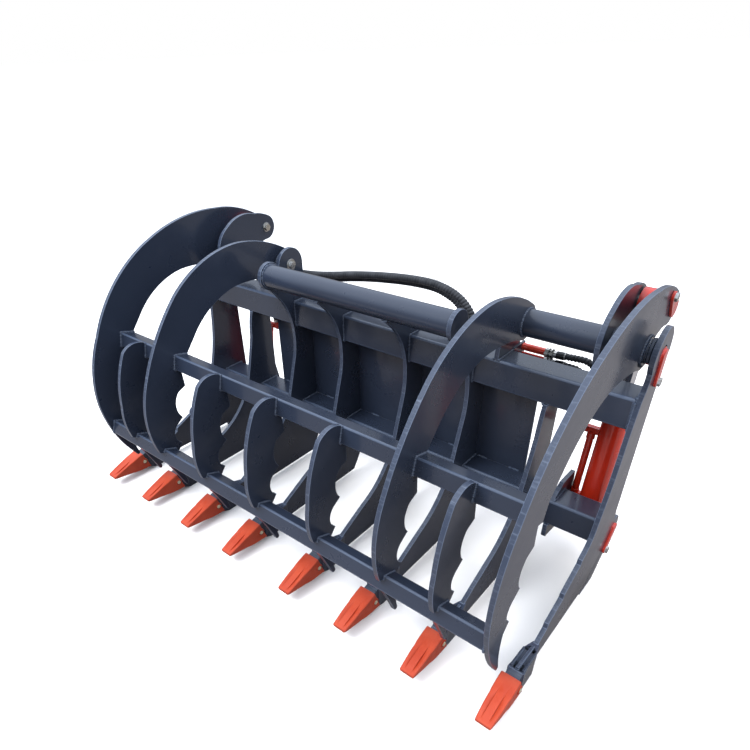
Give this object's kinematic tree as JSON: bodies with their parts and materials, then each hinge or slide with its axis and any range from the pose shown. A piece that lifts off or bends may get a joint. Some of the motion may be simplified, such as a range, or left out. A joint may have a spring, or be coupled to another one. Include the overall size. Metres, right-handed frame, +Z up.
{
  "type": "hay grapple",
  "caption": "Wheel loader grapple: toothed tines on a welded frame, a curved jaw with grip edges on a cross pivot, and two hydraulic cylinders with their hoses.",
  "frame": {"origin": "on the ground, under the middle of the grapple's bounding box", "axes": "+X along the width, -Y to the front where the teeth point, +Z up"},
  "size_m": [2.032, 1.063, 1.0819],
  "materials": {
    "frame_paint": "gloss",
    "tooth_red": "semi gloss",
    "cylinder_red": "gloss",
    "rod_chrome": "polished",
    "pin_zinc": "zinc plated",
    "coupling_steel": "zinc plated",
    "hose_rubber": "matt"
  },
  "bodies": {
    "frame": {"back_panel": "frame_paint", "crossover_hose_lower": "hose_rubber", "crossover_hose_upper": "hose_rubber", "cylinder_hose_lower": "hose_rubber", "cylinder_hose_upper": "hose_rubber", "cylinder_lug_left": "frame_paint", "cylinder_lug_right": "frame_paint", "cylinder_pin_left": "pin_zinc", "cylinder_pin_right": "pin_zinc", "guard_tube": "frame_paint", "hose_couplings": "coupling_steel", "loader_ear_1": "frame_paint", "loader_ear_2": "frame_paint", "loader_ear_3": "frame_paint", "loader_ear_4": "frame_paint", "lower_beam": "frame_paint", "pivot_ear_left": "frame_paint", "pivot_ear_right": "frame_paint", "pivot_pin_inner_left": "pin_zinc", "pivot_pin_inner_right": "pin_zinc", "pivot_pin_outer_left": "pin_zinc", "pivot_pin_outer_right": "pin_zinc", "side_plate_left": "frame_paint", "side_plate_right": "frame_paint", "tine_2": "frame_paint", "tine_3": "frame_paint", "tine_4": "frame_paint", "tine_5": "frame_paint", "tine_6": "frame_paint", "tine_7": "frame_paint", "tooth_1": "tooth_red", "tooth_2": "tooth_red", "tooth_3": "tooth_red", "tooth_4": "tooth_red", "tooth_5": "tooth_red", "tooth_6": "tooth_red", "tooth_7": "tooth_red", "tooth_8": "tooth_red", "top_beam": "frame_paint"},
    "barrel_left": {"cylinder_barrel_left": "cylinder_red"},
    "barrel_right": {"cylinder_barrel_right": "cylinder_red"},
    "rod_left": {"cylinder_rod_left": "rod_chrome"},
    "rod_right": {"cylinder_rod_right": "rod_chrome"},
    "jaw": {"jaw_arm_1": "frame_paint", "jaw_arm_2": "frame_paint", "jaw_arm_3": "frame_paint", "jaw_arm_4": "frame_paint", "jaw_lower_beam": "frame_paint", "jaw_lug_left": "frame_paint", "jaw_lug_right": "frame_paint", "jaw_rib_1": "frame_paint", "jaw_rib_2": "frame_paint", "jaw_rib_3": "frame_paint", "jaw_rib_4": "frame_paint", "jaw_rib_5": "frame_paint", "jaw_upper_beam": "frame_paint", "pivot_tube_left": "frame_paint", "pivot_tube_right": "frame_paint", "rod_pin_left": "pin_zinc", "rod_pin_right": "pin_zinc"}
  },
  "joints": [
    {"name": "jaw_hinge", "type": "hinge", "parent": "frame", "child": "jaw", "pos_m": [0, 0.2885, 0.896], "axis": [-1, 0, 0], "range_deg": [0, 50]},
    {"name": "cylinder_swing_left", "type": "hinge", "parent": "frame", "child": "barrel_left", "pos_m": [-0.8855, 0.3685, 0.182], "axis": [-1, 0, 0], "range_deg": [0, 2.4]},
    {"name": "rod_stroke_left", "type": "slide", "parent": "barrel_left", "child": "rod_left", "axis": [0, -0.1132, -0.9936], "range_m": [0, 0.156]},
    {"name": "cylinder_swing_right", "type": "hinge", "parent": "frame", "child": "barrel_right", "pos_m": [0.8855, 0.3685, 0.182], "axis": [-1, 0, 0], "range_deg": [0, 2.4]},
    {"name": "rod_stroke_right", "type": "slide", "parent": "barrel_right", "child": "rod_right", "axis": [0, -0.1132, -0.9936], "range_m": [0, 0.156]}
  ],
  "couplings": [
    {"joint": "cylinder_swing_left", "follows": "jaw_hinge", "ratio": 0.04684},
    {"joint": "rod_stroke_left", "follows": "jaw_hinge", "m_per_rad": 0.17772},
    {"joint": "cylinder_swing_right", "follows": "jaw_hinge", "ratio": 0.04684},
    {"joint": "rod_stroke_right", "follows": "jaw_hinge", "m_per_rad": 0.17772}
  ]
}
